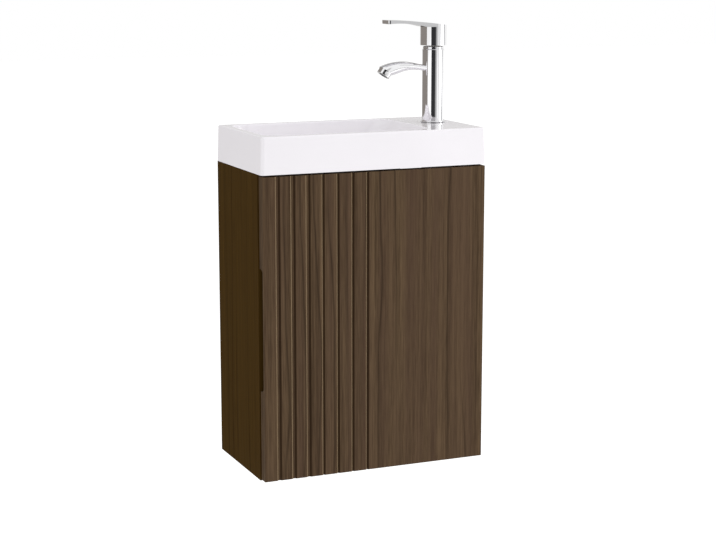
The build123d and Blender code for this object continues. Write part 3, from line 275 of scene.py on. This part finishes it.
def walnut(name, look, light, dark, warm, along=Z, sheen=0.008, raw_back=False, paint_groove_light=False):
    """Satin foil printed with walnut: fibres, streaks, slow bands and thin wandering dark lines, and where
    asked a painted highlight and painted shade on the groove flanks.
    """
    finish = Finish(name, IOR=1.45, Specular_IOR_Level=sheen)
    place = finish.place()
    fibre = grain(finish, place, along, 700, 22, 0.0, detail=3.0)
    streak = grain(finish, place, along, 300, 3.5, 3.7, detail=3.0)
    band = grain(finish, place, along, 70, 1.1, 8.1)
    hue = grain(finish, place, along, 42, 0.8, 15.3)
    sway = grain(finish, place, along, 6, 1.6, 21.9, detail=2.0)
    choice = grain(finish, place, along, 30, 1.0, 30.2, detail=1.0)
    others = [axis for axis in (X, Y, Z) if axis != along]
    across = finish.part_of(place, others[0]) + finish.part_of(place, others[1])
    wave = finish.maths("SINE", (across + sway * look.line_sway) * (2 * math.pi / look.line_pitch))
    line = (wave * 0.5 + 0.5) ** 26.0 * finish.spread(choice + 0.02, 6.0)
    tone = finish.clamped(0.5 + (fibre - 0.5) * 1.9 + (streak - 0.5) * 1.7 + (band - 0.5) * 1.3)
    colour = finish.mixed(tone, dark, light)
    colour = finish.mixed(finish.spread(hue, 3.0) * 0.6, colour, warm)
    colour = finish.mixed(line * 0.6, colour, tuple(part * 0.5 for part in dark))
    facing = finish.place("Normal")
    # painted highlight on right-facing groove flanks and painted shade on left-facing ones
    if paint_groove_light:
        colour = painted_flank_highlight_and_shade(finish, place, facing, colour)
    roughness = 0.5 + (streak - 0.5) * 0.18
    if raw_back:
        colour = chipboard(finish, place, facing, colour)
    finish.set("Base Color", colour)
    finish.set("Roughness", roughness + line * 0.1)
    finish.bump(fibre * 0.5 + streak * 0.7 - line * 0.6, 0.00006)
    return finish.material


def painted_flank_highlight_and_shade(finish, place, facing, colour):
    """Painted light and shade in the grooves: faces turned to the right are painted pale as a highlight,
    and faces turned to the left are painted dark as shade.
    """
    side = finish.part_of(facing, X)
    inside = finish.maths("LESS_THAN", finish.maths("ABSOLUTE", finish.part_of(place, X)), 0.19)
    # painted highlight: pale colour on faces turned to the right
    colour = finish.mixed(finish.clamped(side * 2.2) * inside * 0.95, colour, from_screen(136, 116, 90))
    # painted shade: dark colour on faces turned to the left
    return finish.mixed(finish.clamped(side * -1.5) * inside * 0.8, colour, from_screen(44, 30, 16))


def chipboard(finish, place, facing, colour):
    """Raw chipboard on the edges that face the wall."""
    flake = finish.noise(place, 420.0, 4.0, 0.7)
    crumb = finish.noise(place, 1500.0, 2.0)
    chip = finish.mixed(finish.spread(flake, 3.5), from_screen(124, 94, 62), from_screen(186, 156, 116))
    chip = finish.mixed(finish.spread(crumb - 0.16, 8.0), chip, from_screen(92, 66, 42))
    return finish.mixed(finish.maths("GREATER_THAN", finish.part_of(facing, Y), 0.9), colour, chip)


def glaze(look):
    """Fired white glaze: glossy, with the faint waviness of a fired surface."""
    finish = Finish("white_glaze", IOR=1.5, Specular_IOR_Level=0.5)
    place = finish.place()
    cloud = finish.noise(place, 9.0, 3.0)
    wave = finish.noise(place, 45.0, 2.0)
    speck = finish.noise(place, 900.0, 1.0)
    low = tuple(part * 0.975 for part in look.glaze)
    colour = finish.mixed(finish.spread(cloud, 2.0), look.glaze, low)
    finish.set("Base Color", colour)
    finish.set("Roughness", look.glaze_roughness + (speck - 0.5) * 0.05)
    finish.bump(wave, 0.00012, 0.35)
    return finish.material


def chrome(look, name="chrome", roughness_added=0.0, tail=None):
    """Polished chrome plating with faint wiping marks, and a thread on the tail where it has one."""
    finish = Finish(name, Metallic=1.0)
    place = finish.place()
    wipe = finish.noise(finish.scaled(place, (300, 300, 60)), 1.0, 3.0)
    cloud = finish.noise(place, 60.0, 2.0)
    low = tuple(part * 0.96 for part in look.chrome)
    finish.set("Base Color", finish.mixed(finish.spread(cloud, 2.0), look.chrome, low))
    roughness = look.chrome_roughness + roughness_added
    finish.set("Roughness", roughness + finish.clamped(wipe - 0.45) * 0.12)
    if tail:
        node, pitch, top = tail
        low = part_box(node)[0].z + 0.001
        finish.bump(thread(finish, place, middle_of(node), pitch, low, top), 0.0007)
    return finish.material


def thread(finish, place, centre, pitch, low, high):
    """A height that winds round an upright axis at a pitch, between two heights."""
    x = finish.part_of(place, X) - centre[0]
    y = finish.part_of(place, Y) - centre[1]
    z = finish.part_of(place, Z)
    turn = finish.maths("ARCTAN2", y, x)
    ridge = finish.maths("SINE", turn + z * (2 * math.pi / pitch)) * 0.5 + 0.5
    return ridge * finish.maths("GREATER_THAN", z, low) * finish.maths("LESS_THAN", z, high)


def middle_of(name):
    """The upright axis through the middle of a node's box."""
    low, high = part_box(name)
    return ((low.x + high.x) / 2, (low.y + high.y) / 2)


def metal(name, colour, tint, roughness, brushed=400.0):
    """Plated or machined metal: a tint in clouds, and fine tool marks in roughness and relief."""
    finish = Finish(name, Metallic=1.0)
    place = finish.place()
    cloud = finish.noise(place, 120.0, 3.0)
    mark = finish.noise(finish.scaled(place, (brushed, brushed, brushed * 8)), 1.0, 2.0)
    finish.set("Base Color", finish.mixed(finish.spread(cloud, 3.0), colour, tint))
    finish.set("Roughness", roughness + (mark - 0.5) * 0.25)
    finish.bump(mark, 0.00003)
    return finish.material


def threaded_metal(name, colour, tint, roughness, node, pitch):
    """Machined metal with a thread all the way along an upright rod."""
    finish = Finish(name, Metallic=1.0)
    place = finish.place()
    low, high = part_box(node)
    ridge = thread(finish, place, middle_of(node), pitch, low.z - 1, high.z + 1)
    cloud = finish.noise(place, 120.0, 3.0)
    finish.set("Base Color", finish.mixed(finish.spread(cloud, 3.0), colour, tint))
    finish.set("Roughness", roughness + (ridge - 0.5) * 0.15)
    finish.bump(ridge, 0.0006)
    return finish.material


def moulded(name, colour, roughness, spotting=0.06):
    """Moulded plastic or rubber with a fine spark-eroded texture."""
    finish = Finish(name, IOR=1.46)
    place = finish.place()
    cloud = finish.noise(place, 70.0, 2.0)
    grit = finish.noise(place, 2600.0, 2.0)
    low = tuple(part * (1 - spotting) for part in colour)
    finish.set("Base Color", finish.mixed(finish.spread(cloud, 2.5), colour, low))
    finish.set("Roughness", roughness + (grit - 0.5) * 0.2)
    finish.bump(grit, 0.00004)
    return finish.material


def beech(name):
    """Plain beech with short dark flecks."""
    finish = Finish(name, IOR=1.45)
    place = finish.place()
    fibre = grain(finish, place, X, 900, 30, 0.0)
    fleck = grain(finish, place, X, 1600, 220, 5.0)
    light = from_screen(214, 180, 138)
    colour = finish.mixed(finish.spread(fibre, 2.0), light, from_screen(188, 150, 108))
    colour = finish.mixed(finish.spread(fleck - 0.12, 6.0) * 0.5, colour, from_screen(140, 98, 62))
    finish.set("Base Color", colour)
    finish.set("Roughness", 0.55 + (fibre - 0.5) * 0.2)
    finish.bump(fibre, 0.0001)
    return finish.material


class VANITY_OT_carcass(bpy.types.Operator):
    """Finishes the cabinet's boards in walnut foil, in tones darkened partly by painted shade"""
    bl_idname = "vanity.carcass"
    bl_label = "Carcass boards"

    def execute(self, context):
        look = context.scene.vanity_cabinet
        # the cabinet tones hold painted shade as well as the boards' own colour
        tones = (look, look.side_light, look.side_dark, look.side_warm)
        dress(walnut("walnut_side", *tones, raw_back=True), "side_panel_left", "side_panel_right")
        dress(walnut("walnut_level_with_painted_shade", *tones, along=X, raw_back=True), "bottom_panel", "shelf")
        rail = walnut("walnut_rail_with_painted_shade", *tones, along=X)
        dress(rail, "front_stretcher", "hanging_rail", "lower_back_rail")
        return {"FINISHED"}


class VANITY_OT_door(bpy.types.Operator):
    """Finishes the door with its grooves, with painted light and shade on the groove flanks, and its
    bumpers
    """
    bl_idname = "vanity.door"
    bl_label = "Door"

    def execute(self, context):
        look = context.scene.vanity_cabinet
        tones = (look, look.door_light, look.door_dark, look.door_warm)
        # the door's material holds painted light and shade on its groove flanks
        dress(walnut("walnut_door", *tones, sheen=0.06, paint_groove_light=True), "door_panel")
        dress(moulded("clear_rubber", from_screen(205, 205, 200), 0.35), "door_bumpers")
        return {"FINISHED"}


class VANITY_OT_board_joints(bpy.types.Operator):
    """Finishes the dowels, bolts, discs and pins that hold the boards"""
    bl_idname = "vanity.board_joints"
    bl_label = "Board joints"

    def execute(self, context):
        dress(beech("beech"), "dowels")
        steel = metal("plated_steel", *STEEL, 0.3)
        dress(steel, "cam_bolts", "cam_discs", "shelf_pins")
        return {"FINISHED"}


class VANITY_OT_wall_hangers(bpy.types.Operator):
    """Finishes the wall plates, hooks and their housings"""
    bl_idname = "vanity.wall_hangers"
    bl_label = "Wall hangers"

    def execute(self, context):
        steel = metal("zinc_plate", from_screen(198, 200, 200), from_screen(176, 172, 158), 0.34)
        dress(steel, "wall_plates", "hanger_hooks", "hanger_fixing_screws", "hanger_adjusters")
        dress(moulded("white_plastic", from_screen(228, 228, 224), 0.4), "hanger_housings")
        return {"FINISHED"}


class VANITY_OT_hinges(bpy.types.Operator):
    """Finishes the two concealed hinges"""
    bl_idname = "vanity.hinges"
    bl_label = "Hinges"

    def execute(self, context):
        nickel = metal("nickel", from_screen(205, 202, 196), from_screen(190, 186, 178), 0.22)
        dress(nickel, "hinge_base_plates", "base_plate_screws", "hinge_arms", "hinge_arm_screws",
              "hinge_arm_pins", "hinge_links", "hinge_cups", "hinge_cup_pins", "cup_screws")
        return {"FINISHED"}


class VANITY_OT_basin(bpy.types.Operator):
    """Finishes the basin and the sealant under it"""
    bl_idname = "vanity.basin"
    bl_label = "Basin"

    def execute(self, context):
        dress(glaze(context.scene.vanity_basin), "basin")
        dress(moulded("white_sealant", from_screen(226, 226, 224), 0.45), "sealant_beads")
        return {"FINISHED"}


class VANITY_OT_waste(bpy.types.Operator):
    """Finishes the push-button waste"""
    bl_idname = "vanity.waste"
    bl_label = "Waste"

    def execute(self, context):
        look = context.scene.vanity_tap
        seal_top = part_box("waste_lower_seal")[1].z
        tail = ("waste_body", look.waste_thread, seal_top)
        dress(chrome(look, "waste_chrome", 0.03, tail), "waste_body")
        dress(chrome(look, "plug_chrome", 0.01), "waste_plug")
        dress(moulded("waste_rubber", from_screen(40, 40, 41), 0.55),
              "waste_flange_seal", "waste_lower_seal", "waste_plug_seal")
        brass = metal("waste_brass", *BRASS, 0.3)
        dress(brass, "waste_backnut", "waste_plug_stem")
        dress(moulded("waste_plastic", from_screen(230, 230, 226), 0.4), "waste_click_guide")
        return {"FINISHED"}


class VANITY_OT_tap(bpy.types.Operator):
    """Finishes the tap's body, spout and ring"""
    bl_idname = "vanity.tap"
    bl_label = "Tap"

    def execute(self, context):
        dress(chrome(context.scene.vanity_tap), "tap_body", "dome_ring", "aerator_housing")
        rubber = moulded("tap_rubber", from_screen(38, 38, 39), 0.55)
        dress(rubber, "tap_base_seal", "tap_clamp_rubber", "aerator_washer")
        brass = metal("tap_brass", *BRASS, 0.3)
        dress(brass, "tap_fixing_nut")
        pitch = context.scene.vanity_tap.stud_thread
        stud = threaded_metal("stud_brass", *BRASS, 0.3, "tap_fixing_stud", pitch)
        dress(stud, "tap_fixing_stud")
        dress(metal("tap_steel", *STEEL, 0.3), "tap_clamp_washer")
        dress(moulded("aerator_plastic", from_screen(96, 98, 100), 0.45), "aerator_insert")
        return {"FINISHED"}


class VANITY_OT_cartridge(bpy.types.Operator):
    """Finishes the mixing cartridge inside the tap"""
    bl_idname = "vanity.cartridge"
    bl_label = "Cartridge"

    def execute(self, context):
        dress(moulded("cartridge_plastic", from_screen(226, 226, 222), 0.4), "cartridge_body",
              "cartridge_carrier")
        dress(moulded("cartridge_ceramic", from_screen(222, 220, 214), 0.2), "cartridge_disc")
        dress(moulded("cartridge_rubber", from_screen(38, 38, 39), 0.55), "cartridge_base_seals")
        brass = metal("cartridge_brass", *BRASS, 0.3)
        dress(brass, "cartridge_stem", "cartridge_nut")
        steel = metal("cartridge_steel", *STEEL, 0.25)
        dress(steel, "cartridge_pin")
        return {"FINISHED"}


class VANITY_OT_lever(bpy.types.Operator):
    """Finishes the lever and its grub screw"""
    bl_idname = "vanity.lever"
    bl_label = "Lever"

    def execute(self, context):
        dress(chrome(context.scene.vanity_tap, "lever_chrome"), "lever_handle")
        dress(metal("grub_steel", from_screen(150, 150, 150), from_screen(126, 126, 126), 0.35),
              "lever_grub_screw")
        return {"FINISHED"}


def glossy_only(piece):
    """Lets a stage piece show in reflections and nowhere else."""
    piece.visible_camera = False
    piece.visible_diffuse = False
    piece.visible_shadow = False
    piece.visible_transmission = False
    piece.visible_volume_scatter = False


def flat_colour(name, colour):
    """A plain light-giving card colour."""
    material = bpy.data.materials.new(name)
    material.use_nodes = True
    nodes = Nodes(material.node_tree)
    light = nodes.add("ShaderNodeEmission", None, {"Color": colour})
    nodes.end("ShaderNodeOutputMaterial", light)
    return material


def hang_card(name, shape, colour):
    """Makes a stage card of a shape."""
    mesh = bpy.data.meshes.new(name)
    shape.to_mesh(mesh)
    shape.free()
    mesh.materials.append(flat_colour(name, colour))
    piece = bpy.data.objects.new(name, mesh)
    bpy.context.scene.collection.objects.link(piece)
    glossy_only(piece)


def overhead_card(name, near, far, colour, half_width=1.8):
    """A level card above and behind, which the level chrome faces show from above."""
    shape = bmesh.new()
    corners = [(-half_width, near), (half_width, near), (half_width, far), (-half_width, far)]
    shape.faces.new([shape.verts.new((x, y, OVERHEAD_HEIGHT)) for x, y in corners])
    hang_card(name, shape, colour)


def card(name, start, end, floor, colour, distance=2.4, inner=0.8):
    """A curved card round the tap between two angles from +X: upright, with a skirt on the floor."""
    shape = bmesh.new()
    rows = []
    steps = 12
    low = floor + CARD_LIFT
    for step in range(steps + 1):
        angle = math.radians(start + (end - start) * step / steps)
        profile = [(distance, CARD_TOP), (distance, low), (inner, low)]
        places = [(TAP_AXIS[0] + away * math.cos(angle), TAP_AXIS[1] + away * math.sin(angle), z)
                  for away, z in profile]
        rows.append([shape.verts.new(place) for place in places])
    for (a, b, c), (d, e, f) in zip(rows, rows[1:]):
        shape.faces.new((a, d, e, b))
        shape.faces.new((b, e, f, c))
    hang_card(name, shape, colour)


class VANITY_OT_stage(bpy.types.Operator):
    """Sets up the floor, the soft light, the reflecting cards and the camera"""
    bl_idname = "vanity.stage"
    bl_label = "Stage"

    def execute(self, context):
        look = context.scene.vanity_stage
        self.floor(look)
        self.world(context.scene, look)
        self.lamps(look)
        self.cards(look)
        self.camera(context.scene, look)
        context.scene.view_settings.view_transform = "Standard"
        return {"FINISHED"}

    def floor(self, look):
        bpy.ops.mesh.primitive_plane_add(size=30.0, location=(0, 0, look.floor_height))
        floor = bpy.context.object
        floor.name = "floor"
        material = bpy.data.materials.new("floor_white")
        material.use_nodes = True
        nodes = Nodes(material.node_tree)
        direct = nodes.add("ShaderNodeLightPath", None, None, output="Is Camera Ray")
        glossy = nodes.add("ShaderNodeLightPath", None, None, output="Is Glossy Ray")
        seen = nodes.maths("MAXIMUM", direct, glossy)
        plain = nodes.add("ShaderNodeBsdfDiffuse", None, {"Color": (0.9, 0.9, 0.9)})
        glow = nodes.add("ShaderNodeEmission", None, {"Color": (1, 1, 1), "Strength": seen * 0.25})
        both = nodes.add("ShaderNodeAddShader", None, {0: plain, 1: glow})
        nodes.end("ShaderNodeOutputMaterial", both)
        floor.data.materials.append(material)

    def world(self, scene, look):
        world = bpy.data.worlds.new("studio")
        world.use_nodes = True
        scene.world = world
        nodes = Nodes(world.node_tree)
        seen = nodes.add("ShaderNodeLightPath", None, None, output="Is Camera Ray")
        for name in ("Is Glossy Ray", "Is Transmission Ray"):
            ray = nodes.add("ShaderNodeLightPath", None, None, output=name)
            seen = nodes.maths("MAXIMUM", seen, ray)
        strength = seen * (1.0 - look.world_light) + look.world_light
        light = nodes.add("ShaderNodeBackground", None, {"Color": (1, 1, 1, 1), "Strength": strength})
        nodes.end("ShaderNodeOutputWorld", light)

    def lamps(self, look):
        self.lamp("side_box", look.side_light, (2.6, -1.3, 1.0), (0, -0.1, -0.1), 1.2, 2.4)

    def lamp(self, name, power, place, target, width, height):
        data = bpy.data.lights.new(name, "AREA")
        data.energy = power
        data.shape = "RECTANGLE"
        data.size = width
        data.size_y = height
        lamp = bpy.data.objects.new(name, data)
        lamp.location = place
        lamp.rotation_euler = (Vector(target) - Vector(place)).to_track_quat("-Z", "Y").to_euler()
        bpy.context.scene.collection.objects.link(lamp)

    def cards(self, look):
        floor = look.floor_height
        card("dark_card", 228, 269, floor, (0.035, 0.035, 0.037))
        card("grey_card", 269, 278, floor, (0.3, 0.3, 0.3))
        card("light_card", 278, 292, floor, (0.62, 0.62, 0.62))
        card("brown_card", 100, 188, floor, (0.27, 0.245, 0.225))
        card("pale_card", 40, 100, floor, (0.62, 0.61, 0.6))
        card("edge_card", 352, 364, floor, (0.3, 0.3, 0.31))
        card("soft_card", 303, 309, floor, (0.6, 0.6, 0.6))
        overhead_card("overhead_near", 0.5, 1.3, (0.55, 0.55, 0.56))
        overhead_card("overhead_dark", 1.3, 1.9, (0.16, 0.16, 0.17))
        overhead_card("overhead_far", 1.9, 3.4, (0.42, 0.42, 0.43))

    def camera(self, scene, look):
        data = bpy.data.cameras.new("camera")
        data.sensor_width = 36.0
        data.lens = look.camera_lens
        camera = bpy.data.objects.new("camera", data)
        dip, heading = look.camera_dip, look.camera_heading
        level = math.cos(dip)
        ahead = Vector((math.sin(heading) * level, math.cos(heading) * level, -math.sin(dip)))
        camera.location = look.camera_place
        camera.rotation_euler = ahead.to_track_quat("-Z", "Y").to_euler()
        scene.collection.objects.link(camera)
        scene.camera = camera


STEPS = (
    VANITY_OT_carcass, VANITY_OT_door, VANITY_OT_board_joints, VANITY_OT_wall_hangers, VANITY_OT_hinges,
    VANITY_OT_basin, VANITY_OT_waste, VANITY_OT_tap, VANITY_OT_cartridge, VANITY_OT_lever, VANITY_OT_stage,
)
LOOKS = {
    "vanity_cabinet": CabinetLook,
    "vanity_basin": BasinLook,
    "vanity_tap": TapLook,
    "vanity_stage": StageLook,
}


class VANITY_PT_sidebar(bpy.types.Panel):
    """Lists the steps and their settings"""
    bl_idname = "VANITY_PT_sidebar"
    bl_label = "Vanity unit"
    bl_space_type = "VIEW_3D"
    bl_region_type = "UI"
    bl_category = "Vanity"

    def draw(self, context):
        for name, group in LOOKS.items():
            box = self.layout.box()
            box.label(text=group.__doc__)
            for setting in group.__annotations__:
                box.prop(getattr(context.scene, name), setting)
        for step in STEPS:
            self.layout.operator(step.bl_idname)


def register():
    for group in (*LOOKS.values(), *STEPS, VANITY_PT_sidebar):
        bpy.utils.register_class(group)
    for name, group in LOOKS.items():
        setattr(bpy.types.Scene, name, bpy.props.PointerProperty(type=group))


def unregister():
    for name in LOOKS:
        delattr(bpy.types.Scene, name)
    for group in (VANITY_PT_sidebar, *reversed(STEPS), *LOOKS.values()):
        bpy.utils.unregister_class(group)


def main():
    register()
    for step in STEPS:
        family, name = step.bl_idname.split(".")
        getattr(getattr(bpy.ops, family), name)()


if __name__ == "__main__":
    main()
